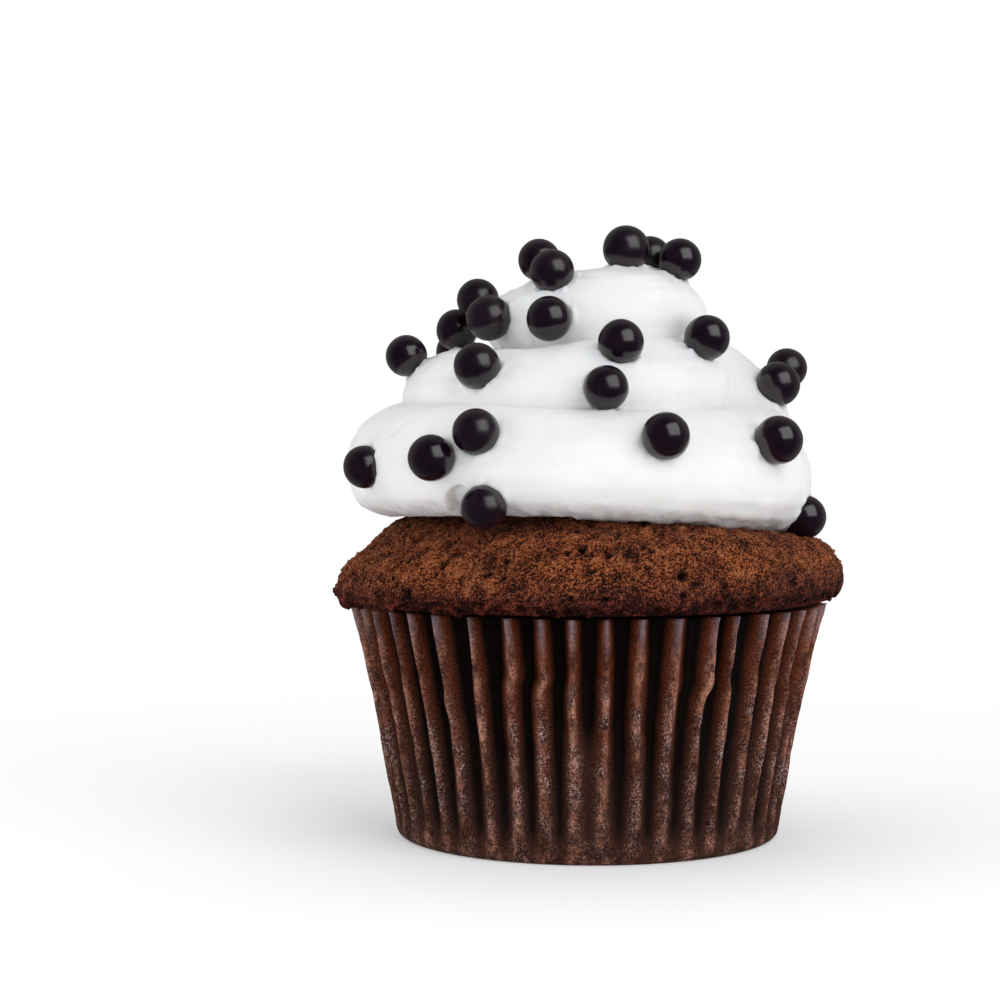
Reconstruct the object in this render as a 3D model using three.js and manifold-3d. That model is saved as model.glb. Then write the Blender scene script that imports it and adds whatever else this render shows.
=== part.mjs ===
// A chocolate cupcake: a cake baked in a pleated paper case, whose domed top spills over the rim,
// with a piped swirl of whipped cream on it and chocolate balls pressed into the cream.
// Millimetres, +Z up, origin in the middle of the case's flat base. The front faces -Y.
import * as THREE from 'three';
import { LoftGeometry } from 'three/addons/geometries/LoftGeometry.js';
import { mergeVertices } from 'three/addons/utils/BufferGeometryUtils.js';
import Module from 'manifold-3d';

const wasm = await Module();
wasm.setup();

// Gap between neighbouring pieces
const GAP = 0.3;

// Paper case
const BASE_RADIUS = 25.5;
const WALL_LEAN = 0.155; // outwards for each millimetre of height
const WALL_FLARE = 0.0016; // and the lean grows towards the rim
const CASE_HEIGHT = 31;
const BASE_CREASE = 0.8; // width and height of the rounded bottom edge
const PAPER = 0.4;
const PLEATS = 44;
const FIRST_PLEAT = 2.6; // azimuth of the first crest, in degrees
const PLEAT_CORNERS = [-0.15, 0.15, 0.3, 0.7]; // in pleats: the crest's edges, the valley's edges
const INNER_CORNERS = [-0.09, 0.09, 0.24, 0.76]; // the same on the paper's inside
const PLEAT_DEPTH_LOW = 0.35;
const PLEAT_DEPTH_HIGH = 1.9;
const PLEAT_SCATTER = 0.24; // share by which pleats differ in depth and place
const KINK_HEIGHT = 18; // where the pleats bend sideways, some to each side
const KINK = 0.3; // in pleats
const WALL_HEIGHTS = [BASE_CREASE, KINK_HEIGHT, CASE_HEIGHT];

// Cake
const CAKE_SLICES = 88;
const LIP_RADIUS = 34;
const LIP_HEIGHT = 33.3; // of the widest line, which is higher on the right and lower on the left
const LIP_TILT = 1;
const LIP_THICKNESS = 2; // from the ragged lower edge up to the widest line
const APEX_HEIGHT = 47.5;
const APEX_DROP = 6.3; // how much lower the dome is towards its flat right side
const FULL_LEFT = 1.15; // exponents of the dome's rise: near 1 is a plain slope,
const FULL_RIGHT = 0.35; // and a small one is a steep edge with a flat top
const DOME_ANGLES = [0, 8, 16, 26, 38, 52, 70]; // rings from the lip up, in degrees of an ellipse
const CRAG = 0.4; // relief of the crust
const SMOOTH_ANGLE = 45; // above this ring the crust is under the cream

// Cream: stations of the strand, each [azimuth, reach, height, half width, half height].
// It starts low on the right, goes once round the back, and climbs in two more turns.
const STRAND = [
  [60, 22, 45.6, 4.6, 4.4],
  [80, 22.4, 45.6, 5.2, 5],
  [105, 23.2, 46.8, 6.6, 6.5],
  [135, 23.8, 48.2, 7.3, 7.2],
  [180, 23.8, 49.6, 7.5, 7.4],
  [270, 24.6, 50.1, 7.6, 7.6],
  [310, 24.6, 50.1, 7.6, 7],
  [345, 24.4, 49.9, 7.5, 6.6],
  [370, 24, 49.4, 7.5, 6.9],
  [420, 22.8, 48.7, 7.4, 8.1],
  [445, 22.3, 48.2, 7.5, 8.6],
  [460, 22.2, 51, 7.5, 7.6],
  [475, 23.4, 56.8, 7.4, 7.2],
  [490, 22.8, 59.8, 7.3, 7],
  [515, 20.8, 60.4, 7.3, 6.5],
  [570, 17.6, 58.8, 7.4, 5.6],
  [630, 17.2, 59.3, 7.6, 5.5],
  [690, 16.4, 59, 7.4, 5.3],
  [720, 15.6, 59.8, 7.4, 5.5],
  [780, 13, 60.2, 6.9, 5.8],
  [810, 11.8, 60.3, 6.9, 5.9],
  [825, 11.4, 61.2, 6.8, 5.9],
  [855, 10, 66, 6.6, 5.8],
  [900, 8, 67.9, 6.5, 5.3],
  [945, 7.2, 68.2, 6.8, 4.9],
  [990, 7, 68.8, 6.8, 4.8],
  [1080, 6, 69.4, 6.9, 5.6],
  [1170, 8.6, 70.1, 7.4, 5.4],
  [1215, 7, 70, 6.2, 5.3],
  [1260, 4.6, 70.1, 5.6, 5.1],
];
const DROOP = 0.15; // how much the strand's outer side hangs, for each millimetre outwards
const STRAND_STEP = 15; // degrees between sections
const STRAND_PIECE = 12; // steps in one length, so that no length meets itself
const PLUG = [5, 0.8]; // [degrees, size] of what each length reaches into the one before
const SECTION_POINTS = 14;
const END_ROUNDING = [[5, 0.85], [10, 0.35]]; // [degrees beyond the end, size]
// The cream inside the turns, as [radius, height] up its outline
const CORE = [[20, 38], [20.5, 50], [15.5, 58.5], [8, 64.5], [7.6, 73], [3.6, 75]];
const CORE_SLICES = 24;

// Chocolate balls, as seen from the heart of the swirl: [azimuth, elevation, distance, radius]
const HEART_HEIGHT = 50;
const BALLS = [
  [47.5, 76.5, 28.6, 3.1], [103.2, 72.2, 28.6, 2.85], [76.1, 64.7, 29.3, 2.85], [-65.1, 74.9, 27.4, 2.85],
  [-28.8, 67.3, 26.6, 2.92], [-88, 55.5, 25.9, 2.85], [-62, 51.3, 23.8, 3.04], [-101.3, 44.4, 25, 2.85],
  [-22.6, 52.2, 23, 2.95], [-87.6, 29.7, 27.9, 2.81], [9.7, 36.3, 25.2, 2.94], [52.5, 39.9, 24.6, 3],
  [-38.3, 26.9, 26.4, 2.99], [3.3, 20.7, 25.7, 2.84], [104.8, 20.6, 29.2, 3.09], [113.7, 22.1, 33.4, 2.85],
  [-27.6, 6.6, 31.8, 2.92], [-37.2, 0.8, 33.3, 2.94], [-62.6, -1.4, 32.6, 2.8], [15.5, 5.8, 31.3, 2.96],
  [48.4, 4.9, 31, 3.1], [-25.6, -10, 32.1, 2.86], [73.1, -14.2, 30.2, 2.9],
];
const FACE_RADIUS = 0.94; // how near the faceted ball's faces come to its centre, where its corners are at 1
// The balls on the back, which are spread by the golden section
const BACK_BALLS = 13;
const BACK_FROM = 128;
const BACK_SPAN = 118;
const BACK_LOW = -9;
const BACK_HIGH = 58;
const BACK_DEPTH = 1.6; // how deep they are in the cream
const BACK_RADIUS = 2.92;

const GOLDEN_SECTION = 0.618034;
const TAU = 2 * Math.PI;
const { degToRad, radToDeg, clamp, lerp } = THREE.MathUtils;

// A point round the axis. Azimuth 0 is the front, and a quarter turn is the right-hand side.
function around(azimuth, radius, height) {
  return new THREE.Vector3(radius * Math.sin(azimuth), -radius * Math.cos(azimuth), height);
}

// A ring of points, one for each slice, where pointAt gives the point at an azimuth.
function ringOf(slices, pointAt) {
  return Array.from({ length: slices }, (_, slice) => pointAt((slice / slices) * TAU, slice));
}

// A number from 0 to 1 that looks random and is the same each time.
function scatter(n, seed) {
  const x = Math.sin(n * 12.9898 + seed * 78.233) * 43758.5453;
  return x - Math.floor(x);
}

// The solid inside a closed three.js geometry.
function solidOf(geometry) {
  const bare = new THREE.BufferGeometry().copy(geometry);
  bare.deleteAttribute('normal');
  bare.deleteAttribute('uv');
  const merged = mergeVertices(bare, 1e-4);
  return new wasm.Manifold(new wasm.Mesh({
    numProp: 3,
    vertProperties: merged.attributes.position.array,
    triVerts: new Uint32Array(merged.index.array),
  }));
}

// The solid skinned over closed sections, from the first to the last.
function loft(sections) {
  return solidOf(new LoftGeometry(sections, { capStart: true, capEnd: true }));
}

function geometryOf(solid) {
  const mesh = solid.getMesh();
  const geometry = new THREE.BufferGeometry();
  geometry.setAttribute('position', new THREE.BufferAttribute(mesh.vertProperties, 3));
  geometry.setIndex(new THREE.BufferAttribute(mesh.triVerts, 1));
  geometry.computeVertexNormals();
  return geometry;
}

function named(name, geometry, material) {
  const mesh = new THREE.Mesh(geometry, material);
  mesh.name = name;
  return mesh;
}

// Paper case

function wallRadius(height) {
  return BASE_RADIUS + WALL_LEAN * height + WALL_FLARE * height * height;
}

function pleatDepth(height) {
  return lerp(PLEAT_DEPTH_LOW, PLEAT_DEPTH_HIGH, clamp(height / CASE_HEIGHT, 0, 1));
}

// One ring of the pleated wall. Crest corners lie on the wall's radius and valley corners inside it.
function pleatedRing(inset, height, radius = wallRadius(height)) {
  const ring = [];
  const corners = inset < PAPER ? PLEAT_CORNERS : INNER_CORNERS;
  const bend = KINK * Math.max(0, 1 - Math.abs(height - KINK_HEIGHT) / KINK_HEIGHT);
  for (let pleat = 0; pleat < PLEATS; pleat++) {
    const shift = PLEAT_SCATTER * (scatter(pleat, 1) - 0.5) + bend * (scatter(pleat, 2) - 0.5);
    const depth = pleatDepth(height) * (1 + PLEAT_SCATTER * (scatter(pleat, 3) - 0.5));
    corners.forEach((corner, i) => {
      const azimuth = degToRad(FIRST_PLEAT) + ((pleat + corner + shift) / PLEATS) * TAU;
      ring.push(around(azimuth, radius - inset - (i < 2 ? 0 : depth), height));
    });
  }
  return ring;
}

function paperCase() {
  const foot = pleatedRing(0, 0, BASE_RADIUS - BASE_CREASE);
  const outside = [foot, ...WALL_HEIGHTS.map((height) => pleatedRing(0, height))];
  const above = pleatedRing(PAPER, CASE_HEIGHT + 1, wallRadius(CASE_HEIGHT));
  const inside = [...WALL_HEIGHTS.map((height) => pleatedRing(PAPER, height)), above];
  return loft(outside).subtract(loft(inside));
}

// Cake

// How far towards the flat right side an azimuth is: 0 on the left, 1 on the right.
function rightness(azimuth) {
  return (1 + Math.sin(azimuth)) / 2;
}

function lipHeight(azimuth) {
  return LIP_HEIGHT + LIP_TILT * Math.sin(azimuth);
}

// A point of the dome, at an angle of its rounded section: 0 is the lip and 90 the apex.
function domePoint(azimuth, angle, proud) {
  const t = degToRad(angle);
  const apex = APEX_HEIGHT - APEX_DROP * rightness(azimuth) ** 3;
  const rise = Math.sin(t) ** lerp(FULL_LEFT, FULL_RIGHT, rightness(azimuth));
  const height = lerp(lipHeight(azimuth), apex, rise) + proud * Math.sin(t);
  return around(azimuth, (LIP_RADIUS + proud) * Math.cos(t), height);
}

// The crust's relief at a point of a ring: lumps a few millimetres wide.
function crag(slice, ring) {
  return DOME_ANGLES[ring] < SMOOTH_ANGLE ? CRAG * (2 * scatter(slice + CAKE_SLICES * ring, 4) - 1) : 0;
}

function domeRings(proud) {
  return DOME_ANGLES.map((angle, ring) => ringOf(
    CAKE_SLICES,
    (azimuth, slice) => domePoint(azimuth, angle, crag(slice, ring) + proud),
  ));
}

// The cake fills the case inside its pleats, and its lip rests just over the rim.
function cake() {
  const deepest = 1 + PLEAT_SCATTER / 2;
  const side = WALL_HEIGHTS.map((height) => {
    const radius = wallRadius(height) - PAPER - GAP - pleatDepth(height) * deepest;
    return ringOf(CAKE_SLICES, (azimuth) => around(azimuth, radius, height + GAP));
  });
  const rim = wallRadius(CASE_HEIGHT) + GAP;
  const lip = [
    ringOf(CAKE_SLICES, (azimuth) => around(azimuth, rim, CASE_HEIGHT + GAP)),
    ringOf(CAKE_SLICES, (azimuth, slice) => around(
      azimuth,
      rim + 0.6 + crag(slice, 0) / 2,
      lipHeight(azimuth) - LIP_THICKNESS + crag(slice, 1),
    )),
    ringOf(CAKE_SLICES, (azimuth, slice) => around(
      azimuth,
      LIP_RADIUS - 0.5 + crag(slice, 2),
      lipHeight(azimuth) - LIP_THICKNESS / 2,
    )),
  ];
  return loft([...side, ...lip, ...domeRings(0)]);
}

// What the swirl is set down on: the dome, a gap larger.
function creamSeat() {
  const bottom = ringOf(CAKE_SLICES, (azimuth) => around(azimuth, LIP_RADIUS, CASE_HEIGHT));
  return loft([bottom, ...domeRings(GAP)]);
}

// Cream

// The strand at an azimuth along it, on a smooth curve through the stations.
function strandAt(degrees) {
  const last = STRAND.length - 1;
  const next = STRAND.findIndex((station) => station[0] > degrees);
  const i = clamp((next < 0 ? last : next) - 1, 0, last - 1);
  const [from, to] = [STRAND[i], STRAND[i + 1]];
  const before = STRAND[Math.max(i - 1, 0)];
  const after = STRAND[Math.min(i + 2, last)];
  const span = to[0] - from[0];
  const u = clamp((degrees - from[0]) / span, 0, 1);
  const blend = (k) => {
    const slopeFrom = (span * (to[k] - before[k])) / (to[0] - before[0]);
    const slopeTo = (span * (after[k] - from[k])) / (after[0] - from[0]);
    return (2 * u ** 3 - 3 * u ** 2 + 1) * from[k] + (u ** 3 - 2 * u ** 2 + u) * slopeFrom
      + (3 * u ** 2 - 2 * u ** 3) * to[k] + (u ** 3 - u ** 2) * slopeTo;
  };
  return { reach: blend(1), height: blend(2), halfWidth: blend(3), halfHeight: blend(4) };
}

// One section of the strand, at a scale of its full size.
function strandSection(degrees, scale) {
  const { reach, height, halfWidth, halfHeight } = strandAt(degrees);
  return ringOf(SECTION_POINTS, (turn) => around(
    degToRad(degrees),
    Math.max(reach + halfWidth * scale * Math.cos(turn), 0),
    height - (halfHeight * Math.sin(turn) + DROOP * halfWidth * Math.cos(turn)) * scale,
  ));
}

function strand() {
  const start = STRAND[0][0];
  const end = STRAND.at(-1)[0];
  const stations = END_ROUNDING.map(([beyond, scale]) => [start - beyond, scale]).reverse();
  for (let degrees = start; degrees <= end; degrees += STRAND_STEP) stations.push([degrees, 1]);
  stations.push(...END_ROUNDING.map(([beyond, scale]) => [end + beyond, scale]));
  const lengths = [];
  for (let i = 0; i < stations.length - 1; i += STRAND_PIECE) {
    const length = stations.slice(i, i + STRAND_PIECE + 1);
    if (i > 0) length.unshift([stations[i][0] - PLUG[0], PLUG[1]]);
    lengths.push(loft(length.map(([degrees, scale]) => strandSection(degrees, scale))));
  }
  return lengths.reduce((joined, length) => joined.add(length));
}

function core() {
  return loft(CORE.map(([radius, height]) => ringOf(CORE_SLICES, (azimuth) => around(azimuth, radius, height))));
}

// How far a point is outside the strand, for each turn of it, and the least of those.
function distanceToStrand(point) {
  const radius = Math.hypot(point.x, point.y);
  const azimuth = (radToDeg(Math.atan2(point.x, -point.y)) + 360) % 360;
  let least = Infinity;
  for (let degrees = azimuth; degrees <= STRAND.at(-1)[0]; degrees += 360) {
    if (degrees < STRAND[0][0]) continue;
    const { reach, height, halfWidth, halfHeight } = strandAt(degrees);
    const across = radius - reach;
    const up = point.z - height + DROOP * across;
    const size = Math.hypot(across / halfWidth, up / halfHeight);
    const slope = Math.hypot(across / halfWidth ** 2, up / halfHeight ** 2) / size;
    least = Math.min(least, (size - 1) / slope);
  }
  return least;
}

// Chocolate balls

function placeSeenFromHeart(azimuth, elevation, distance) {
  const up = degToRad(elevation);
  const place = around(degToRad(azimuth), distance * Math.cos(up), distance * Math.sin(up));
  return place.setZ(place.z + HEART_HEIGHT);
}

// The distance from the heart at which a ball of the back is as deep in the cream as it should be.
function backDistance(azimuth, elevation) {
  let distance = LIP_RADIUS;
  const surface = () => distanceToStrand(placeSeenFromHeart(azimuth, elevation, distance));
  while (surface() > BACK_RADIUS - BACK_DEPTH && distance > 0) distance -= 0.05;
  return distance;
}

function backBalls() {
  return Array.from({ length: BACK_BALLS }, (_, i) => {
    const azimuth = BACK_FROM + BACK_SPAN * ((i * GOLDEN_SECTION) % 1);
    const elevation = lerp(BACK_LOW, BACK_HIGH, i / (BACK_BALLS - 1));
    return [azimuth, elevation, backDistance(azimuth, elevation), BACK_RADIUS];
  });
}

function ball(radius) {
  return new THREE.IcosahedronGeometry(radius, 1);
}

// The hollow that each ball presses: the same faceted ball, with every face a gap further out.
function socket([azimuth, elevation, distance, radius]) {
  const centre = placeSeenFromHeart(azimuth, elevation, distance);
  return solidOf(ball(radius + GAP / FACE_RADIUS)).translate(centre.toArray());
}

const paper = new THREE.MeshStandardMaterial({ color: 0x5e3f30, roughness: 0.6, metalness: 0 });
const crust = new THREE.MeshStandardMaterial({ color: 0x5f3820, roughness: 0.9, metalness: 0 });
const whippedCream = new THREE.MeshStandardMaterial({ color: 0xf4f3f0, roughness: 0.5, metalness: 0 });
const chocolate = new THREE.MeshStandardMaterial({ color: 0x1d1218, roughness: 0.2, metalness: 0 });

const balls = [...BALLS, ...backBalls()];
const sockets = balls.map(socket);
const cakeSolid = sockets.reduce((solid, hollow) => solid.subtract(hollow), cake());
const piped = strand().add(core()).subtract(creamSeat());
const swirl = sockets.reduce((solid, hollow) => solid.subtract(hollow), piped);

const cupcake = new THREE.Group();
cupcake.add(named('paper_case', geometryOf(paperCase()), paper));
cupcake.add(named('cake', geometryOf(cakeSolid), crust));
cupcake.add(named('cream_swirl', geometryOf(swirl), whippedCream));
balls.forEach(([azimuth, elevation, distance, radius], i) => {
  const mesh = named(`choc_ball_${String(i + 1).padStart(2, '0')}`, ball(radius), chocolate);
  mesh.position.copy(placeSeenFromHeart(azimuth, elevation, distance));
  cupcake.add(mesh);
});

export default cupcake;
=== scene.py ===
"""A chocolate cupcake in a pleated paper case, with a piped swirl of cream and chocolate balls."""
import math
import bmesh
import bpy
import numpy as np
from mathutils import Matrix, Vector


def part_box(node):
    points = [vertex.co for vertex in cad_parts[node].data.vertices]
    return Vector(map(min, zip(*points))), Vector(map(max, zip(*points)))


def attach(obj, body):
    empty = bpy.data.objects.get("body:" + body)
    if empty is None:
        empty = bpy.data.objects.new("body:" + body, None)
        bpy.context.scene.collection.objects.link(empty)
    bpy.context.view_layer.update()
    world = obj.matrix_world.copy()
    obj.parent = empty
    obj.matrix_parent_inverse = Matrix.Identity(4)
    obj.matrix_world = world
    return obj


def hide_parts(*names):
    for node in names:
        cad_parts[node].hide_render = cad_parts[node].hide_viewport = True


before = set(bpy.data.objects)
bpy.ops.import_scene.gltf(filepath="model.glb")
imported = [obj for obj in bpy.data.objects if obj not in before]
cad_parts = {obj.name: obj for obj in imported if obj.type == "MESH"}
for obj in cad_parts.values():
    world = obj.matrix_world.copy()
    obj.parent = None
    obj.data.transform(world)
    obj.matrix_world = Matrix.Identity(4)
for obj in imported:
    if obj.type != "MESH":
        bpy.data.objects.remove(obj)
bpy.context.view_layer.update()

# Lengths of the cupcake are in millimetres, and become metres when a mesh is made.
MM = 0.001

# The photograph's camera
CAMERA_PLACE = (-11.7, -300, 53.2)
CAMERA_PITCH = 1.65  # degrees downwards
LENS = 80.46
SENSOR = 36
NEAREST_SEEN = 0.01  # metres

# Paper case
BASE_RADIUS = 25.5
WALL_LEAN = 0.155  # outwards for each millimetre of height
WALL_FLARE = 0.0016  # and the lean grows towards the rim
CASE_HEIGHT = 31
CREASE = 1.0  # radius of the rounded bottom edge
CREASE_DEPTH = 0.8  # how far the edge draws in, as a share of that
PAPER = 0.4
PLEATS = 44
FIRST_PLEAT = 2.6  # azimuth of the first crest, in degrees
PLEAT_SCATTER = 0.24  # share by which pleats differ in depth
PLEAT_DEPTH_LOW = 0.5
PLEAT_DEEPENING = 2.2  # what is added to that at the rim
PLEAT_START = 4  # height at which the pleats have their whole depth
RIDGE_SHIFT = 0.12  # how far crests are off their even places, in pleats
RIDGE_WIDTH_LOW = 0.38  # in pleats
RIDGE_NARROWING = 0.15  # what is taken off that at the rim
RIDGE_SCATTER = 0.6
RIDGE_LEAN = 0.3
RIDGE_SHARPNESS = 1.5  # 2 is a round ridge and 1 is a sharp fold
KINK_LOWEST = 17  # heights at which the pleats bend sideways
KINK_SPREAD = 7
KINK_HALF_HEIGHT = 1.2
KINK = 0.2  # how far they bend, in pleats
KNUCKLE = 0.12  # how far the bend itself sticks out
PRESSED = 0.35  # how much shallower some valleys are low down
PRESSED_HEIGHTS = (12, 20)  # between which that fades out
PLEAT_COLUMNS = 20
CASE_ROWS = 74
INNER_ROWS = 12

# Cake
LIP_RADIUS = 34
LIP_HEIGHT = 33.3  # of the widest line, which is higher on the right and lower on the left
LIP_TILT = 1
LIP_THICKNESS = 2  # from the lower edge up to the widest line
LIP_SAG = 0.9  # how much thicker the lip is on the right
LIP_ROOM = 0.4  # what the lip's crumbs hang down
LIP_MARGIN = 0.1  # what they stand out
LIP_ROWS = 13
APEX_HEIGHT = 47.5
APEX_DROP = 6.3  # how much lower the dome is towards its flat right side
FULL_LEFT = 1.15  # exponents of the dome's rise: 1 is an evenly round dome,
FULL_RIGHT = 0.35  # and a small one has a steep edge and a flat top
DOME_ANGLES = np.concatenate([np.linspace(0.5, 44, 82), [48, 56, 66, 78]])  # coarser under the cream
SIDE_HEIGHTS = (0.8, 16.0, 31.0)  # of the side that is hidden in the case
SIDE_INSET = 3.2
CAKE_GAP = 0.3  # between the cake and the paper
UNDER_CREAM = (27.6, 30)  # radii between which the crust goes under the cream
CRUST_SPAN = 9  # height over which the crust's colour changes
CAKE_COLUMNS = 900
# Hollows in the cake's shoulders, each [side, height, half height, depth], where side -1 is the left
SHOULDERS = [[-1, 39, 1.7, 0.7], [1, 37.6, 1.4, 0.6]]
SHOULDER_REACH = (0.6, 1.0)  # how far sideways they begin and are deepest, where 1 is straight aside
# Relief of the crust
CRUST_LUMPS = 0.35
CRUST_CRUMB = 0.2
CRUST_GRAINS = 0.33
CRUST_ROUGHNESS = 0.6  # of the ragged lower edge
PORE_DEPTH = 0.65
PIT_DEPTH = 1.0
CRUST_SINKING = 0.12  # of the whole crust, to make up for its lumps
CRUST_HIGHEST = 0.5
LIP_CUT = 0.35  # how much lower than that the relief ends at the lip

# Cream: stations of the strand, each [azimuth, reach, height, half width, half height]
STRAND = np.array([
    [60, 22, 45.6, 4.6, 4.4],
    [80, 22.4, 45.6, 5.2, 5],
    [105, 23.2, 46.8, 6.6, 6.5],
    [135, 23.8, 48.2, 7.3, 7.2],
    [180, 23.8, 49.6, 7.5, 7.4],
    [270, 24.6, 50.1, 7.6, 7.6],
    [310, 24.6, 50.1, 7.6, 7],
    [345, 24.4, 49.9, 7.5, 6.6],
    [370, 24, 49.4, 7.5, 6.9],
    [420, 22.8, 48.7, 7.4, 8.1],
    [445, 22.3, 48.2, 7.5, 8.6],
    [460, 22.2, 51, 7.5, 7.6],
    [475, 23.4, 56.8, 7.4, 7.2],
    [490, 22.8, 59.8, 7.3, 7],
    [515, 20.8, 60.4, 7.3, 6.5],
    [570, 17.6, 58.8, 7.4, 5.6],
    [630, 17.2, 59.3, 7.6, 5.5],
    [690, 16.4, 59, 7.4, 5.3],
    [720, 15.6, 59.8, 7.4, 5.5],
    [780, 13, 60.2, 6.9, 5.8],
    [810, 11.8, 60.3, 6.9, 5.9],
    [825, 11.4, 61.2, 6.8, 5.9],
    [855, 10, 66, 6.6, 5.8],
    [900, 8, 67.9, 6.5, 5.3],
    [945, 7.2, 68.2, 6.8, 4.9],
    [990, 7, 68.8, 6.8, 4.8],
    [1080, 6, 69.4, 6.9, 5.6],
    [1170, 8.6, 70.1, 7.4, 5.4],
    [1215, 7, 70, 6.2, 5.3],
    [1260, 4.6, 70.1, 5.6, 5.1],
])
TURNS = 4
DROOP = 0.15  # how much the strand's outer side hangs, for each millimetre outwards
END_ROUNDING = 12  # degrees over which the strand's ends round off
MISSED = 5.0  # distance given where a ray from the heart misses the strand
HEART = np.array([0, 0, 50.0])  # the point inside from which the cream's surface is measured
# The core under the strand, each [radius, height]
CORE = np.array([[20, 38], [20.5, 50], [15.5, 58.5], [8, 64.5], [7.6, 73], [3.6, 75], [0, 75.2]])
# Hollows in the cream as seen from the heart, each [azimuth, elevation, radius, depth]
DENTS = [[-31.8, -11, 3.1, 1.25], [-43.5, -0.5, 1.3, 0.25], [-55, 7.8, 0.8, 0.35]]
CREASE_SOFTNESS = 0.5
CREAM_LOWEST = -27  # elevations between which the cream's surface is made
CREAM_HIGHEST = 89.6
CREAM_COLUMNS = 520
CREAM_ROWS = 185
# Relief of the cream
STREAKS = 0.07
FINE_STREAKS = 0.04
CREAM_LUMPS = 0.17
CREAM_PITS = 0.22
EDGE_BRUSHING = 0.3  # where the cream meets the cake
EDGE_SINKING = 0.12
BALL_RIM = 0.22  # how high the cream is pushed up round a ball

# Chocolate balls
BALLS = sorted(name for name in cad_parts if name.startswith("choc_ball"))
BALL_FINENESS = 5
BALL_SIZE = 0.99  # of the ball's radius in the CAD, before its dents
BALL_DENTS = 0.035
BALL_FINE_DENTS = 0.012

# Light: how bright each part of the studio is, where 1 is the white backdrop
KEY_LIGHT = 2.45
FILL_LIGHT = 1.25
FRONT_LIGHT = 0.14
BACK_LIGHT = 0.9
FRONT_SIDE = -0.3  # from in front to behind: where the front light starts to turn into the back light
BACK_SIDE = 0.4  # and where it has
MIRRORED_LIGHT = 0.28  # share of the surroundings that shows in reflections
LIGHT_AIM = Vector((0, 0, 0.045))
LIGHT_DISTANCE = 0.6
FLOOR_GLOW = 0.2
FLOOR_NEAR = 0.04  # metres from the cupcake at which the floor starts to brighten into the backdrop
FLOOR_FAR = 0.17  # and where it is as white
FLOOR_REACH = 3


# Noise

def lattice(cell, seed):
    """A number from -1 to 1 for each whole-numbered place, always the same."""
    x, y, z = cell[..., 0], cell[..., 1], cell[..., 2]
    h = (x * 374761393 + y * 668265263 + z * 1442695041 + seed * 1274126177) & 0xFFFFFFFF
    h = ((h ^ (h >> 13)) * 1274126177) & 0xFFFFFFFF
    h = ((h ^ (h >> 15)) * 668265263) & 0xFFFFFFFF
    return ((h >> 8) & 0xFFFF) / 32767.5 - 1


def noise(p, size, seed):
    """Smooth noise from -1 to 1, with lumps about as large as size."""
    q = p / np.asarray(size, float)
    cell = np.floor(q).astype(np.int64)
    f = q - cell
    f = f * f * (3 - 2 * f)
    total = 0
    for dx in (0, 1):
        wx = f[..., 0] if dx else 1 - f[..., 0]
        for dy in (0, 1):
            wy = f[..., 1] if dy else 1 - f[..., 1]
            for dz in (0, 1):
                wz = f[..., 2] if dz else 1 - f[..., 2]
                total = total + wx * wy * wz * lattice(cell + np.array([dx, dy, dz]), seed)
    return total


def fractal(p, size, octaves, seed, keep=0.5):
    """Noise with finer and weaker noise on it."""
    size = np.asarray(size, float)
    total = 0
    for octave in range(octaves):
        total = total + keep ** octave * noise(p, size / 2 ** octave, seed + octave)
    return total


def cells(p, size, seed):
    """Distance to the nearest of a set of scattered points, in sizes, and that point's own number."""
    q = p / size
    cell = np.floor(q).astype(np.int64)
    best = np.full(q.shape[:-1], 9.0)
    number = np.zeros(q.shape[:-1])
    for dx in (-1, 0, 1):
        for dy in (-1, 0, 1):
            for dz in (-1, 0, 1):
                c = cell + np.array([dx, dy, dz])
                spot = np.stack([lattice(c, seed + axis) for axis in range(3)], -1)
                d = np.linalg.norm(c + 0.5 + 0.45 * spot - q, axis=-1)
                nearer = d < best
                best = np.where(nearer, d, best)
                number = np.where(nearer, lattice(c, seed + 7), number)
    return best, number


def smooth_step(x, low, high):
    u = np.clip((x - low) / (high - low), 0, 1)
    return u * u * (3 - 2 * u)


def scatter(n, seed):
    """A number from 0 to 1 for each whole number."""
    x = np.sin(n * 12.9898 + seed * 78.233) * 43758.5453
    return x - np.floor(x)


# Meshes

def around(azimuth, radius, height):
    """Points round the axis. Azimuth 0 is the front, and a quarter turn is the right-hand side."""
    azimuth, radius, height = np.broadcast_arrays(azimuth, radius, height)
    return np.stack([radius * np.sin(azimuth), -radius * np.cos(azimuth), height], -1)


def azimuths(columns):
    return np.arange(columns) / columns * 2 * math.pi


def grid_normals(p):
    """Outward unit normals of rows of points, where each row is a ring and the rows go up the outside."""
    across = np.roll(p, -1, 1) - np.roll(p, 1, 1)
    along = np.gradient(p, axis=0)
    n = np.cross(across, along)
    return n / np.maximum(np.linalg.norm(n, axis=-1, keepdims=True), 1e-12)


def rings_mesh(name, rings, material, slot, nodes, bottom, top, **attributes):
    """A mesh of stacked rings, closed by a point at either end, that stands for CAD nodes."""
    rows, columns = rings.shape[:2]
    index = np.arange(rows * columns).reshape(rows, columns)
    turned = np.roll(index, -1, 1)
    faces = np.stack([index[:-1], turned[:-1], turned[1:], index[1:]], -1).reshape(-1, 4).tolist()
    points = rings.reshape(-1, 3)
    for pole, first, second in ((bottom, turned[0], index[0]), (top, index[-1], turned[-1])):
        points = np.vstack([points, pole])
        faces += np.stack([first, second, np.full(columns, len(points) - 1)], -1).tolist()
    mesh = bpy.data.meshes.new(name)
    mesh.from_pydata((points * MM).tolist(), [], faces)
    for key, values in attributes.items():
        layer = mesh.attributes.new(key, "FLOAT", "POINT")
        filled = np.zeros(len(points), np.float32)
        filled[:rows * columns] = values.reshape(-1)
        layer.data.foreach_set("value", filled)
    return piece(name, mesh, material, nodes)


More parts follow.
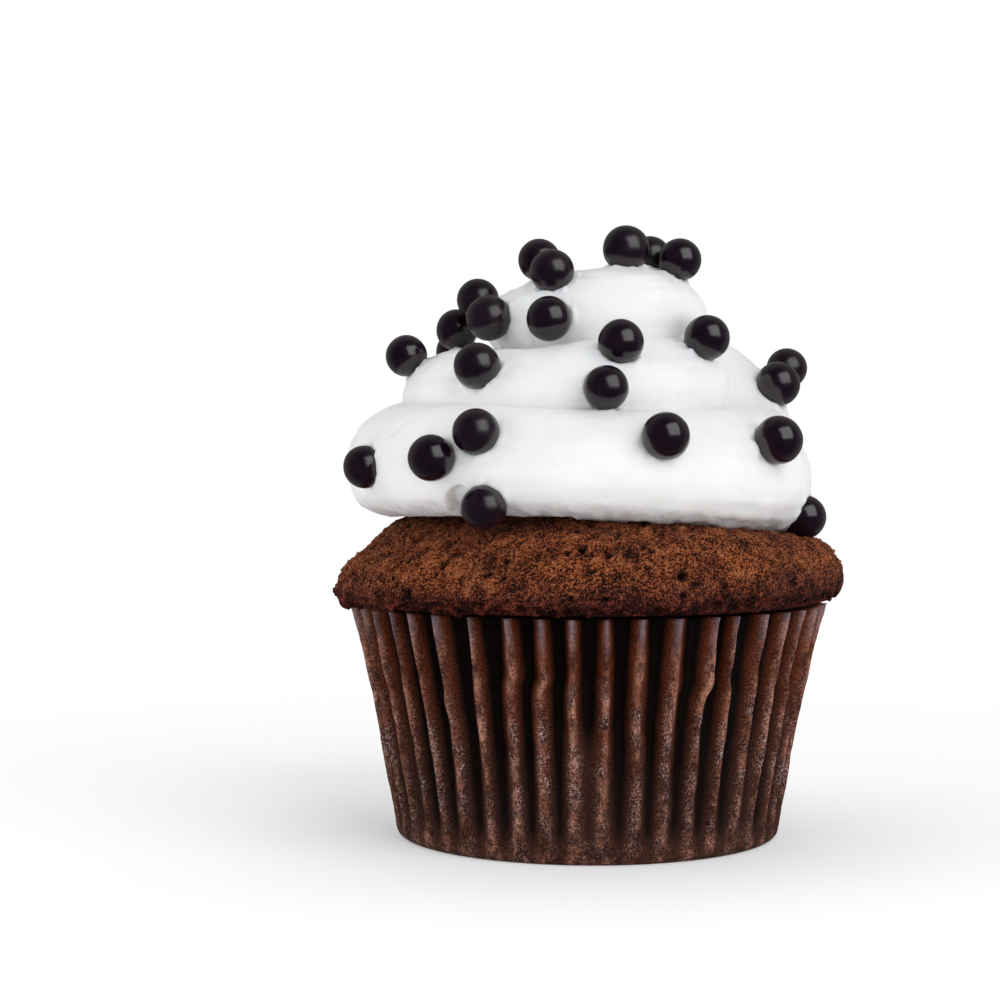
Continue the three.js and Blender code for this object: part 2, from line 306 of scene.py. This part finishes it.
def piece(name, mesh, material, nodes):
    """A smooth-shaded object that rides on the one body and stands for CAD nodes."""
    mesh.polygons.foreach_set("use_smooth", np.ones(len(mesh.polygons), bool))
    mesh.materials.append(material)
    mesh.update()
    made = bpy.data.objects.new(name, mesh)
    bpy.context.scene.collection.objects.link(made)
    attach(made, "root")
    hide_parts(*nodes)
    return made


# Materials

def srgb(red, green, blue):
    """A colour given as it looks on screen, 0 to 255, for a shader."""
    def linear(c):
        c = c / 255
        return c / 12.92 if c <= 0.04045 else ((c + 0.055) / 1.055) ** 2.4
    return (linear(red), linear(green), linear(blue), 1)


class Shader:
    """A material's nodes, added one by one and joined by their sockets' names or places."""

    def __init__(self, name, **principled):
        self.material = bpy.data.materials.new(name)
        self.material.use_nodes = True
        self.nodes = self.material.node_tree.nodes
        self.links = self.material.node_tree.links
        self.surface = self.nodes["Principled BSDF"]
        for key, value in principled.items():
            self.surface.inputs[key.replace("_", " ")].default_value = value
        self.place = self.nodes.new("ShaderNodeTexCoord").outputs["Object"]

    def put(self, made, key, value):
        if isinstance(value, bpy.types.NodeSocket):
            self.links.new(value, made.inputs[key])
        else:
            made.inputs[key].default_value = value

    def add(self, kind, settings=None, **inputs):
        made = self.nodes.new("ShaderNode" + kind)
        for key, value in (settings or {}).items():
            setattr(made, key, value)
        for key, value in inputs.items():
            self.put(made, key.replace("_", " "), value)
        return made

    def noise(self, size, detail=3, roughness=0.55, stretch=None, distortion=0):
        """Noise with lumps of about size millimetres."""
        place = self.place
        if stretch:
            place = self.add("Mapping", Vector=place, Scale=stretch).outputs["Vector"]
        made = self.add(
            "TexNoise", Vector=place, Scale=1 / (size * MM), Detail=detail, Roughness=roughness,
            Distortion=distortion,
        )
        return made.outputs["Fac"]

    def spread(self, value, low, high, to_low=0.0, to_high=1.0):
        """Stretches a value from low..high to to_low..to_high, and no further."""
        made = self.add(
            "MapRange", {"clamp": True}, Value=value, From_Min=low, From_Max=high, To_Min=to_low,
            To_Max=to_high,
        )
        return made.outputs["Result"]

    def mix(self, share, first, second):
        """The first colour, with a share of the second."""
        made = self.add("Mix", {"data_type": "RGBA"})
        for place, value in ((0, share), (6, first), (7, second)):
            self.put(made, place, value)
        return made.outputs[2]

    def math(self, operation, first, second):
        made = self.add("Math", {"operation": operation})
        self.put(made, 0, first)
        self.put(made, 1, second)
        return made.outputs[0]

    def times(self, first, second):
        return self.math("MULTIPLY", first, second)

    def plus(self, first, second):
        return self.math("ADD", first, second)

    def attribute(self, name):
        return self.add("Attribute", {"attribute_name": name}).outputs["Fac"]

    def bump(self, height, distance, strength=1.0, under=None):
        """Relief of about distance millimetres, on top of the relief under it."""
        made = self.add("Bump", Height=height, Distance=distance * MM, Strength=strength)
        if under is not None:
            self.put(made, "Normal", under)
        return made.outputs["Normal"]

    def finish(self, **surface):
        for key, value in surface.items():
            self.put(self.surface, key.replace("_", " "), value)
        return self.material


def paper_material():
    """Brown baking paper: waxy, with crests painted lighter as highlight, flanks painted as shade, and
    recesses near black, partly from grease soaked into the folds and partly painted shade; painted
    highlight specks on the crests and a painted waxy sheen under the rim.
    """
    s = Shader("waxed_brown_paper", Roughness=0.6, Specular_IOR_Level=0.1)
    recess = s.attribute("recess")
    level = s.attribute("level")
    grain = s.noise(0.26, 3, 0.75)
    cloud = s.spread(s.noise(4, 3, 0.6, (1, 1, 0.6)), 0.4, 0.62)
    stain = s.spread(s.noise(1.7, 4, 0.65, (1, 1, 0.6)), 0.45, 0.58)
    damp = s.times(s.spread(level, 0.5, 0.15), s.spread(s.noise(1.1, 4, 0.7), 0.6, 0.42, 0.1, 0.85))
    # Crests are painted lighter, as highlight, and flanks darker, as shade.
    crest = s.mix(cloud, srgb(128, 70, 48), srgb(182, 124, 100))
    crest = s.mix(s.times(stain, 0.75), crest, srgb(52, 30, 28))
    crest = s.mix(damp, crest, srgb(54, 27, 18))
    flank = s.mix(s.spread(level, 0.3, 0.8), srgb(66, 37, 27), srgb(100, 44, 18))
    # Recesses near black: partly grease soaked into the folds, partly painted shade.
    soaked_and_shaded = s.mix(s.spread(level, 0.05, 0.5), srgb(26, 13, 10), srgb(8, 4, 3))
    colour = s.mix(s.spread(recess, 0.06, 0.4), crest, flank)
    colour = s.mix(s.spread(recess, 0.44, 0.78), colour, soaked_and_shaded)
    colour = s.mix(s.spread(grain, 0.53, 0.41, 0, 0.75), colour, srgb(26, 12, 10))
    # Painted highlight: pale specks on the crests halfway up, where they catch the light.
    patches = s.spread(s.noise(3.2, 2, 0.6), 0.44, 0.58, 0.12, 1)
    halfway = s.plus(s.spread(level, 0.75, 0.5, 0.3, 0.9), s.spread(level, 0.35, 0.1, 0, -0.55))
    lit = s.times(s.times(s.spread(recess, 0.5, 0.1, 0.02, 1), patches), halfway)
    painted_sheen_flecks = s.times(s.spread(grain, 0.52, 0.65, 0, 0.85), lit)
    colour = s.mix(painted_sheen_flecks, colour, srgb(206, 188, 186))
    # Painted sheen: a bluish-grey reflection on the crests just under the rim.
    painted_wax_sheen = s.times(s.spread(level, 0.84, 1.0), s.spread(recess, 0.35, 0.05, 0, 0.5))
    colour = s.mix(painted_wax_sheen, colour, srgb(138, 126, 138))
    fibres = s.bump(grain, 0.1, 0.8)
    creases = s.bump(s.noise(2.2, 4, 0.6, (1, 1, 0.35)), 0.2, 0.7, fibres)
    return s.finish(Base_Color=colour, Normal=creases)


def crumb_material():
    """Baked chocolate crumb: sandy brown grains with painted highlights on the raised ones and painted
    shade in the pores and low spots between them, darker round the lip, and with painted shadow where it
    goes under the cream.
    """
    s = Shader("chocolate_crumb", Roughness=0.85, Specular_IOR_Level=0.2)
    height = s.attribute("level")
    fine = s.noise(0.26, 3, 0.75)
    grain = s.plus(s.times(s.attribute("proud"), 0.3), s.times(fine, 1.75))
    patches = s.spread(s.noise(5, 4, 0.6), 0.36, 0.64)
    top = s.mix(patches, srgb(112, 48, 24), srgb(182, 88, 42))
    lip = s.mix(patches, srgb(86, 32, 26), srgb(102, 39, 27))
    colour = s.mix(s.spread(height, 0.25, 0.6), lip, top)
    colour = s.mix(s.spread(height, 0.16, 0.02), colour, srgb(62, 14, 9))
    # Darker where the relief is low, partly the crumb's own speckle and partly painted shade; lit_grain
    # below is a painted highlight on the raised grains.
    colour = s.mix(s.spread(grain, 1.05, 0.9, 0, 1), colour, srgb(26, 10, 7))
    lit_grain = s.times(s.spread(grain, 1.05, 1.22), s.spread(patches, 0, 1, 0.5, 1))
    glint = s.mix(s.spread(height, 0.1, 0.5), srgb(150, 62, 36), srgb(204, 132, 84))
    colour = s.mix(lit_grain, colour, glint)
    # Painted shadow of the cream where the crust goes under it.
    colour = s.mix(s.times(s.attribute("covered"), 0.3), colour, srgb(34, 12, 4))
    # Painted shade filling the sunk pores and pits.
    colour = s.mix(s.attribute("pore"), colour, srgb(15, 6, 4))
    return s.finish(Base_Color=colour, Normal=s.bump(fine, 0.65, 1.0))


def cream_material():
    """Whipped cream: near white, with painted warm shade in its creases, and streaked purple-grey painted
    shade on its underside and where it meets the cake.
    """
    s = Shader("whipped_cream", Roughness=0.5, Specular_IOR_Level=0.4)
    s.put(s.surface, "Subsurface Weight", 0.5)
    s.put(s.surface, "Subsurface Radius", (1.0, 0.85, 0.7))
    s.put(s.surface, "Subsurface Scale", 2 * MM)
    clouds = s.spread(s.noise(6, 2, 0.5), 0.35, 0.65)
    colour = s.mix(clouds, srgb(241, 241, 239), srgb(246, 245, 244))
    # Painted warm shade in the creases between the turns.
    colour = s.mix(s.times(s.attribute("crease"), 0.3), colour, srgb(242, 237, 222))
    brushed = s.spread(s.noise(1.4, 4, 0.65, (1, 1, 3), 1), 0.4, 0.6, 0.2, 1)
    # Painted shade: streaked purple-grey on the cream's underside and where it meets the cake.
    painted_underside_shade = s.times(s.attribute("edge"), brushed)
    colour = s.mix(s.times(painted_underside_shade, 0.42), colour, srgb(140, 126, 142))
    soft = s.bump(s.noise(1.6, 3, 0.5), 0.08, 0.35)
    fine = s.bump(s.noise(0.35, 2, 0.5), 0.015, 0.4, soft)
    return s.finish(Base_Color=colour, Normal=fine)


def chocolate_material():
    """Polished dark chocolate, where some balls are a little duller than others."""
    s = Shader("polished_chocolate", Specular_IOR_Level=0.6)
    clouds = s.spread(s.noise(2.5, 3, 0.55), 0.35, 0.65)
    colour = s.mix(clouds, srgb(15, 5, 15), srgb(28, 12, 24))
    own = s.spread(s.attribute("number"), 0, 1, -0.05, 0.07)
    wear = s.plus(own, s.spread(s.noise(1.2, 3, 0.6), 0.3, 0.7, 0.19, 0.27))
    fine = s.bump(s.noise(0.8, 3, 0.55), 0.04, 0.25)
    return s.finish(Base_Color=colour, Roughness=wear, Normal=fine)


# Paper case

def wall_radius(height):
    return BASE_RADIUS + WALL_LEAN * height + WALL_FLARE * height ** 2


def crest_places(number, z):
    """Where the crests of the pleats are at each height, in pleats, with each one's sideways kink."""
    height = KINK_LOWEST + KINK_SPREAD * scatter(number, 11)
    side = 2 * scatter(number, 12) - 1
    kink = KINK * side * smooth_step(z, height - KINK_HALF_HEIGHT, height + KINK_HALF_HEIGHT)
    kink = kink + KNUCKLE * side * np.exp(-np.abs((z - height) / 1.3) ** 1.3)
    return number + RIDGE_SHIFT * (scatter(number, 1) - 0.5) + kink


def each(values):
    """Gives every mesh column the value of its pleat."""
    return np.repeat(values, PLEAT_COLUMNS, -1)


def pleated_wall(heights):
    """The pleated wall at some heights: azimuths, radii, and how deep in a recess each point is."""
    number = np.arange(PLEATS)
    z = heights[:, None]
    share = np.clip(z / CASE_HEIGHT, 0, 1)
    crest_at = crest_places(number, z)
    after, before = np.roll(crest_at, -1, 1), np.roll(crest_at, 1, 1)
    after[:, -1] += PLEATS
    before[:, 0] -= PLEATS
    phase = np.tile(np.arange(PLEAT_COLUMNS) / PLEAT_COLUMNS - 0.5, PLEATS)
    left = phase < 0
    span = np.where(left, each(crest_at - before), each(after - crest_at))
    azimuth = math.radians(FIRST_PLEAT) + (each(crest_at) + phase * span) / PLEATS * 2 * math.pi

    width = RIDGE_WIDTH_LOW - RIDGE_NARROWING * share
    width = width * (1 + RIDGE_SCATTER * (each(scatter(number, 13)) - 0.5))
    lean = phase + RIDGE_LEAN * (each(scatter(number, 14)) - 0.5) * (0.25 - phase ** 2)
    ends = np.exp(-(0.5 / width) ** RIDGE_SHARPNESS)
    crest = (np.exp(-(np.abs(lean) / width) ** RIDGE_SHARPNESS) - ends) / (1 - ends)

    depth = 1 + PLEAT_SCATTER * (scatter(number, 3) - 0.5)
    neighbour = np.where(left, each(np.roll(depth, 1)), each(np.roll(depth, -1)))
    depth = each(depth) + (neighbour - each(depth)) * np.abs(phase)
    pressed = PRESSED * smooth_step(scatter(number, 15), 0.6, 0.8)
    pressed = np.where(left, each(np.roll(pressed, 1)), each(pressed))
    pressed = 1 - pressed * (1 - smooth_step(z, *PRESSED_HEIGHTS))
    growth = PLEAT_DEPTH_LOW + PLEAT_DEEPENING * share ** 0.8
    depth = depth * pressed * growth * smooth_step(z, 0, PLEAT_START)
    # How dark the recess is painted, partly soaked grease and partly painted shade: less at the foot and
    # lower down.
    soaked_and_shaded = (0.75 + 0.25 * share ** 0.7) * (0.5 + 0.5 * smooth_step(z, 0.5, 5))
    return azimuth, wall_radius(z) - depth * (1 - crest), (1 - crest) * pressed * soaked_and_shaded


def paper_case():
    """The paper case, wrinkled all over, with its inside a paper's thickness behind the outside."""
    crease_heights = CREASE * (1 - np.cos(np.linspace(0.35, math.pi / 2, 5)))
    heights = np.concatenate([
        [0], crease_heights, np.linspace(CREASE + 0.45, CASE_HEIGHT, CASE_ROWS),
    ])
    azimuth, radius, recess = pleated_wall(heights)
    below = CREASE - np.minimum(heights, CREASE)
    crease = CREASE - np.sqrt(np.clip(CREASE ** 2 - below ** 2, 0, None))
    outside = around(azimuth, radius - crease[:, None] * CREASE_DEPTH, heights[:, None])
    wrinkle = 0.1 * fractal(outside, (1.6, 1.6, 3.6), 3, seed=21, keep=0.6)
    wrinkle = wrinkle + 0.16 * noise(outside, (3, 3, 6), seed=25)
    fade = smooth_step(heights, 0, 3)[:, None]
    outside = outside + grid_normals(outside) * (wrinkle * fade)[..., None]
    inner = np.linspace(len(heights) - 1, 5, INNER_ROWS).astype(int)
    inside = outside[inner] - around(azimuth[inner], PAPER, 0)
    level = np.broadcast_to(heights[:, None] / CASE_HEIGHT, recess.shape)
    return rings_mesh(
        "paper_case_folded", np.concatenate([outside, inside]), paper_material(), "paper", ["paper_case"],
        bottom=[0, 0, 0], top=[0, 0, inside[-1, 0, 2]],
        recess=np.concatenate([recess, recess[inner]]), level=np.concatenate([level, level[inner]]),
    )


# Cake

def rightness(azimuth):
    """0 on the left side and 1 on the right."""
    return (1 + np.sin(azimuth)) / 2


def lip_height(azimuth):
    return LIP_HEIGHT + LIP_TILT * np.sin(azimuth)


def dome(azimuth, angle):
    """The dome's surface, at angles in degrees of its rounded section: 0 is the lip and 90 the apex."""
    t = np.radians(angle)
    right = rightness(azimuth)
    apex = APEX_HEIGHT - APEX_DROP * right ** 3
    rise = np.sin(t) ** (FULL_LEFT + (FULL_RIGHT - FULL_LEFT) * right)
    height = lip_height(azimuth) * (1 - rise) + apex * rise
    return around(azimuth, LIP_RADIUS * np.cos(t), height)


def cake_rings(azimuth):
    """The plain cake as rings from its base to its apex, and the height of the lip's lower edge."""
    side = [around(azimuth, wall_radius(z) - SIDE_INSET, z + CAKE_GAP) for z in SIDE_HEIGHTS]
    rim = wall_radius(CASE_HEIGHT)
    under = around(azimuth, rim - 0.6, CASE_HEIGHT + LIP_ROOM)
    turn = np.linspace(0, 1, LIP_ROWS)[:, None] * math.pi / 2
    thickness = LIP_THICKNESS + LIP_SAG * rightness(azimuth) ** 3
    low = lip_height(azimuth) - thickness + LIP_ROOM
    edge_in = rim + CAKE_GAP
    lip = around(
        azimuth, edge_in + (LIP_RADIUS - edge_in) * np.sin(turn), low + thickness * (1 - np.cos(turn)),
    )
    return np.concatenate([*side, under, lip, dome(azimuth, DOME_ANGLES[:, None])]), low


def cake():
    """The cake, with lumps, crumb, grains, pores and pits on its crust and a ragged lower edge."""
    azimuth = azimuths(CAKE_COLUMNS)[None, :]
    rings, low = cake_rings(azimuth)
    height = rings[..., 2]
    level = (height - low) / CRUST_SPAN
    ragged = 1 - smooth_step(level, 0.0, 0.25)
    crust = np.ones((len(rings), 1))
    crust[:4] = 0
    crust[4] = 0.5

    lump = CRUST_LUMPS * fractal(rings, 5.5, 2, seed=31)
    crumb = CRUST_CRUMB * fractal(rings, 1.3, 3, seed=35, keep=0.7)
    grain_distance, grain_number = cells(rings, 0.62, seed=41)
    grain = CRUST_GRAINS * (0.55 - grain_distance) * (1 + grain_number)
    # Where the crust goes under the cream: more pores there, and painted shadow in the crumb material.
    covered = 1 - smooth_step(np.hypot(rings[..., 0], rings[..., 1]), *UNDER_CREAM)
    pore_distance, pore_number = cells(rings, 1.5, seed=51)
    pore_distance = pore_distance + 0.14 * noise(rings, 0.7, seed=55)
    pore = smooth_step(pore_number + 0.5 * covered, -0.2, 0.6)
    pore = pore * (1 - smooth_step(pore_distance, 0.14, 0.36))
    pit_distance, pit_number = cells(rings, 4.2, seed=61)
    pit_distance = pit_distance + 0.12 * noise(rings, 0.9, seed=66)
    pit = (pit_number > 0.2) * (1 - smooth_step(pit_distance, 0.07, 0.22))
    rough = CRUST_ROUGHNESS * (fractal(rings, 1.1, 2, seed=71, keep=0.7) - 0.3) * ragged

    displacement = lump + crumb + grain + rough - PORE_DEPTH * pore - PIT_DEPTH * pit - CRUST_SINKING
    highest = CRUST_HIGHEST - LIP_CUT * (1 - smooth_step(level, 0.2, 0.6))
    displacement = np.minimum(displacement, highest)
    sunk = 0
    for side, middle, half_height, depth in SHOULDERS:
        beside = smooth_step(side * np.sin(azimuth), *SHOULDER_REACH)
        sunk = sunk + depth * np.exp(-((height - middle) / half_height) ** 2) * beside
    rings = rings + grid_normals(rings) * ((displacement - sunk) * crust)[..., None]
    hang = noise(rings, 2.2, seed=75) + 0.7 * noise(rings, 0.9, seed=76)
    rings[..., 2] += ragged * crust * (0.15 - 0.45 * hang)
    reach = np.hypot(rings[..., 0], rings[..., 1])
    rings[..., :2] *= np.minimum(1, (LIP_RADIUS + LIP_MARGIN) / reach)[..., None]
    return rings_mesh(
        "cake_crumb", rings, crumb_material(), "crust", ["cake"],
        # pore marks the sunk pores and pits, which the crumb material darkens as painted shade.
        bottom=[0, 0, 1.1], top=[0, 0, 46], pore=np.clip(pore + pit, 0, 1), level=level,
        # proud is how raised the crust is; the crumb material paints it lighter as highlight and its low
        # spots darker as shade.
        proud=np.clip(0.5 + 1.6 * (crumb + grain + 0.5 * rough - 0.06), 0, 1), covered=covered,
    )


# Cream

def strand_at(degrees):
    """The strand's centre and half axes at azimuths along it, on a smooth curve through its stations."""
    last = len(STRAND) - 1
    i = np.clip(np.searchsorted(STRAND[:, 0], degrees, side="right") - 1, 0, last - 1)
    before, start = STRAND[np.maximum(i - 1, 0)], STRAND[i]
    end, after = STRAND[i + 1], STRAND[np.minimum(i + 2, last)]
    span = end[..., :1] - start[..., :1]
    u = np.clip((degrees[..., None] - start[..., :1]) / span, 0, 1)
    slope_start = (end - before) / (end[..., :1] - before[..., :1]) * span
    slope_end = (after - start) / (after[..., :1] - start[..., :1]) * span
    value = (
        (2 * u ** 3 - 3 * u ** 2 + 1) * start + (u ** 3 - 2 * u ** 2 + u) * slope_start
        + (3 * u ** 2 - 2 * u ** 3) * end + (u ** 3 - u ** 2) * slope_end
    )
    return [value[..., k] for k in range(1, 5)]


def reach_of_turn(azimuth, elevation, turn):
    """How far from the heart a turn of the strand reaches, and the place on it, along and around."""
    degrees = np.degrees(azimuth) + 360 * turn
    beyond = np.maximum(np.maximum(STRAND[0, 0] - degrees, degrees - STRAND[-1, 0]), 0)
    size = np.sqrt(np.clip(1 - (beyond / END_ROUNDING) ** 2, 0, 1))
    reach, height, half_width, half_height = strand_at(degrees)
    a = np.maximum(half_width * size, 0.05)
    b = np.maximum(half_height * size, 0.05)
    c, s = np.cos(elevation), np.sin(elevation)
    rise = s + DROOP * c
    level = height - HEART[2] + DROOP * reach
    along = c * reach / a ** 2 + rise * level / b ** 2
    square = (c / a) ** 2 + (rise / b) ** 2
    rest = (reach / a) ** 2 + (level / b) ** 2 - 1
    inside = along ** 2 - square * rest
    t = (along + np.sqrt(np.clip(inside, 0, None))) / square
    t = np.where((inside > 0) & (size > 0), t, MISSED)
    angle = np.arctan2((t * rise - level) / b, (t * c - reach) / a)
    return t, np.stack([degrees * 0.35, angle * 7, 0 * t], -1)


def soft_max(first, second, softness):
    """The larger of two lengths, blended where they are nearly the same."""
    h = np.clip(0.5 + (first - second) / (2 * softness), 0, 1)
    return second + (first - second) * h + softness * h * (1 - h) * 0.5


def cream_rings():
    """The cream's surface as rings, each point's place along the strand, and how deep in a crease it is."""
    azimuth = azimuths(CREAM_COLUMNS)[None, :]
    elevation = np.radians(np.linspace(CREAM_LOWEST, CREAM_HIGHEST, CREAM_ROWS))[:, None]
    azimuth, elevation = np.broadcast_arrays(azimuth, elevation)
    core_rise = CORE[:, 1] - HEART[2]
    best = np.interp(elevation, np.arctan2(core_rise, CORE[:, 0]), np.hypot(core_rise, CORE[:, 0]))
    second = np.zeros(best.shape)
    place = np.zeros(best.shape + (3,))
    for turn in range(TURNS):
        t, where = reach_of_turn(azimuth, elevation, turn)
        ahead = t > best
        second = np.where(ahead, best, np.maximum(second, t))
        best = soft_max(t, best, CREASE_SOFTNESS)
        place = np.where(ahead[..., None], where, place)
    way = around(azimuth, np.cos(elevation), np.sin(elevation))
    crease = 1 - smooth_step(best - second, 0.3, 2.2)
    return HEART + best[..., None] * way, place, crease


def ball_places():
    """The centre and the radius of each ball of the CAD."""
    found = []
    for name in BALLS:
        low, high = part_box(name)
        found.append((np.array((low + high) / 2) / MM, float(max(high - low)) / 2 / MM))
    return found


def height_over_cake(p):
    """How far points are above the dome of the cake."""
    azimuth = np.arctan2(p[..., 0], -p[..., 1])
    radius = np.hypot(p[..., 0], p[..., 1])
    angle = np.degrees(np.arccos(np.clip(radius / LIP_RADIUS, 0, 1)))
    return p[..., 2] - dome(azimuth, angle)[..., 2]


def dent(rings, azimuth, elevation, radius, depth):
    """How deep a hollow with a sharp rim is at each point of the cream."""
    azimuth, elevation = math.radians(azimuth), math.radians(elevation)
    aim = around(azimuth, math.cos(elevation), math.sin(elevation))
    away = rings - HEART
    off = np.linalg.norm(away - (away @ aim)[..., None] * aim, axis=-1)
    off = np.where(away @ aim > 0, off + 0.25 * noise(rings, 1.2, seed=109), 99)
    return depth * (1 - smooth_step(off, 0.85 * radius, radius))


def rim_of_ball(rings, centre, radius):
    """How high the cream is pushed up round a ball at each of its points."""
    away = np.linalg.norm(rings - centre, axis=-1)
    return BALL_RIM * np.exp(-((away - radius - 0.25) / 0.5) ** 2)


def cream_swirl():
    """The cream, with streaks, a ragged edge on the cake, hollows, and rims round the balls."""
    rings, place, crease = cream_rings()
    normal = grid_normals(rings)
    # Where the surface faces down, below 46 to 48 mm, and the strip near the cake: the cream material
    # darkens these as painted shade.
    under = smooth_step(-normal[..., 2], 0.5, 1.0)
    under = 0.8 * under * (1 - smooth_step(rings[..., 2], 46, 48))
    edge = np.maximum(1 - smooth_step(height_over_cake(rings), 0.2, 2.0), under)
    streak = STREAKS * fractal(place, (14, 1.3, 5), 2, seed=91)
    streak = streak + FINE_STREAKS * noise(place, (30, 0.6, 5), seed=95)
    lump = CREAM_LUMPS * fractal(rings, 4.2, 3, seed=97)
    pit_distance, pit_number = cells(rings, 3.4, seed=101)
    pit = (pit_number > 0.3) * (1 - smooth_step(pit_distance, 0.05, 0.16))
    brushed = fractal(rings + 0.5 * rings[..., ::-1], (2.4, 2.4, 0.7), 3, seed=105, keep=0.6)
    push = streak + lump - CREAM_PITS * pit + edge * (EDGE_BRUSHING * brushed - EDGE_SINKING)
    for values in DENTS:
        push = push - dent(rings, *values)
    ragged = 1.6 * fractal(rings, 1.1, 2, seed=119, keep=0.7)
    for centre, radius in ball_places():
        push = push + rim_of_ball(rings, centre, radius) * (1 + ragged)
    outward = rings - HEART
    facing = (normal * outward).sum(-1) / np.linalg.norm(outward, axis=-1)
    push = push * smooth_step(facing, 0.0, 0.55)  # calm where the mesh is stretched over a ledge
    rings = rings + normal * push[..., None]
    return rings_mesh(
        "cream_piped", rings, cream_material(), "cream", ["cream_swirl"],
        bottom=[0, 0, 40], top=rings[-1].mean(0), crease=crease, edge=edge,
    )


# Chocolate balls

def round_ball():
    """The corners and triangles of an evenly divided ball of radius 1."""
    source = bpy.data.meshes.new("ball_source")
    bm = bmesh.new()
    bmesh.ops.create_icosphere(bm, subdivisions=BALL_FINENESS, radius=1)
    bm.to_mesh(source)
    bm.free()
    corners = np.array([v.co[:] for v in source.vertices])
    triangles = np.array([p.vertices[:] for p in source.polygons])
    bpy.data.meshes.remove(source)
    return corners, triangles


def chocolate_balls():
    """All the balls as one mesh of separate, slightly uneven balls."""
    unit, triangles = round_ball()
    points, faces, numbers = [], [], []
    for i, (centre, radius) in enumerate(ball_places()):
        own = unit + 10 * i
        dents = BALL_DENTS * noise(own, 0.9, seed=113) + BALL_FINE_DENTS * noise(own, 0.35, seed=115)
        faces.append(triangles + len(points) * len(unit))
        points.append(unit * (radius * BALL_SIZE + dents)[:, None] + centre)
        numbers.append(np.full(len(unit), scatter(i, 117), np.float32))
    mesh = bpy.data.meshes.new("chocolate_balls")
    mesh.from_pydata((np.concatenate(points) * MM).tolist(), [], np.concatenate(faces).tolist())
    layer = mesh.attributes.new("number", "FLOAT", "POINT")
    layer.data.foreach_set("value", np.concatenate(numbers))
    return piece("chocolate_balls", mesh, chocolate_material(), BALLS)


# Stage

def camera():
    data = bpy.data.cameras.new("camera")
    data.lens = LENS
    data.sensor_width = SENSOR
    data.clip_start = NEAREST_SEEN
    made = bpy.data.objects.new("camera", data)
    made.location = [c * MM for c in CAMERA_PLACE]
    made.rotation_euler = (math.radians(90 - CAMERA_PITCH), 0, 0)
    bpy.context.scene.collection.objects.link(made)
    bpy.context.scene.camera = made


def softbox(name, way, size, radiance, colour):
    """A square panel of light that faces the cupcake. Radiance 1 is the white of the backdrop."""
    data = bpy.data.lights.new(name, "AREA")
    data.shape = "SQUARE"
    data.size = size
    data.energy = radiance * math.pi * size ** 2
    data.color = colour
    way = Vector(way).normalized()
    made = bpy.data.objects.new(name, data)
    made.location = LIGHT_AIM + way * LIGHT_DISTANCE
    made.rotation_euler = way.to_track_quat("Z", "Y").to_euler()
    made.visible_camera = False
    bpy.context.scene.collection.objects.link(made)
    return made


def backdrop_world():
    """White where it is seen. As light it is white behind the cupcake, and dim in front and mirrored."""
    world = bpy.data.worlds.new("studio")
    bpy.context.scene.world = world
    world.use_nodes = True
    nodes, links = world.node_tree.nodes, world.node_tree.links
    way = nodes.new("ShaderNodeSeparateXYZ")
    links.new(nodes.new("ShaderNodeTexCoord").outputs["Generated"], way.inputs[0])
    ramp = nodes.new("ShaderNodeMapRange")
    links.new(way.outputs["Y"], ramp.inputs["Value"])
    ramp.inputs["From Min"].default_value = FRONT_SIDE
    ramp.inputs["From Max"].default_value = BACK_SIDE
    ramp.inputs["To Min"].default_value = FRONT_LIGHT
    ramp.inputs["To Max"].default_value = BACK_LIGHT
    rays = nodes.new("ShaderNodeLightPath")
    mirrored = nodes.new("ShaderNodeMapRange")
    links.new(rays.outputs["Is Glossy Ray"], mirrored.inputs["Value"])
    mirrored.inputs["To Min"].default_value = 1
    mirrored.inputs["To Max"].default_value = MIRRORED_LIGHT
    strength = nodes.new("ShaderNodeMath")
    strength.operation = "MULTIPLY"
    links.new(ramp.outputs["Result"], strength.inputs[0])
    links.new(mirrored.outputs["Result"], strength.inputs[1])
    glow = nodes["Background"]
    links.new(strength.outputs[0], glow.inputs["Strength"])
    seen = nodes.new("ShaderNodeBackground")
    choose = nodes.new("ShaderNodeMixShader")
    links.new(rays.outputs["Is Camera Ray"], choose.inputs["Fac"])
    for key, background in ((1, glow), (2, seen)):
        background.inputs["Color"].default_value = (1, 1, 1, 1)
        links.new(background.outputs["Background"], choose.inputs[key])
    links.new(choose.outputs["Shader"], nodes["World Output"].inputs["Surface"])


def floor():
    """A pale floor that turns into the white backdrop away from the cupcake."""
    corners = [(-1, -1), (1, -1), (1, 1), (-1, 1)]
    mesh = bpy.data.meshes.new("floor")
    mesh.from_pydata([(x * FLOOR_REACH, y * FLOOR_REACH, 0) for x, y in corners], [], [(0, 1, 2, 3)])
    made = bpy.data.objects.new("floor", mesh)
    bpy.context.scene.collection.objects.link(made)
    s = Shader("floor_white", Roughness=0.8, Specular_IOR_Level=0)
    distance = s.add("VectorMath", {"operation": "LENGTH"}, Vector=s.place).outputs["Value"]
    s.put(s.surface, "Emission Color", (1, 1, 1, 1))
    s.finish(
        Base_Color=s.mix(s.spread(distance, FLOOR_NEAR, FLOOR_FAR), (0.9, 0.9, 0.9, 1), (0, 0, 0, 1)),
        Emission_Strength=s.spread(distance, FLOOR_NEAR, FLOOR_FAR, FLOOR_GLOW, 1),
    )
    mesh.materials.append(s.material)
    made.visible_glossy = False


def studio():
    backdrop_world()
    softbox("key", way=(0.53, -0.66, 0.54), size=0.58, radiance=KEY_LIGHT, colour=(0.96, 0.97, 1))
    fill = softbox("fill", way=(-0.85, -0.4, 0.25), size=0.8, radiance=FILL_LIGHT, colour=(0.93, 0.96, 1))
    fill.visible_glossy = False
    floor()
    bpy.context.scene.view_settings.view_transform = "Standard"


camera()
paper_case()
cake()
cream_swirl()
chocolate_balls()
studio()
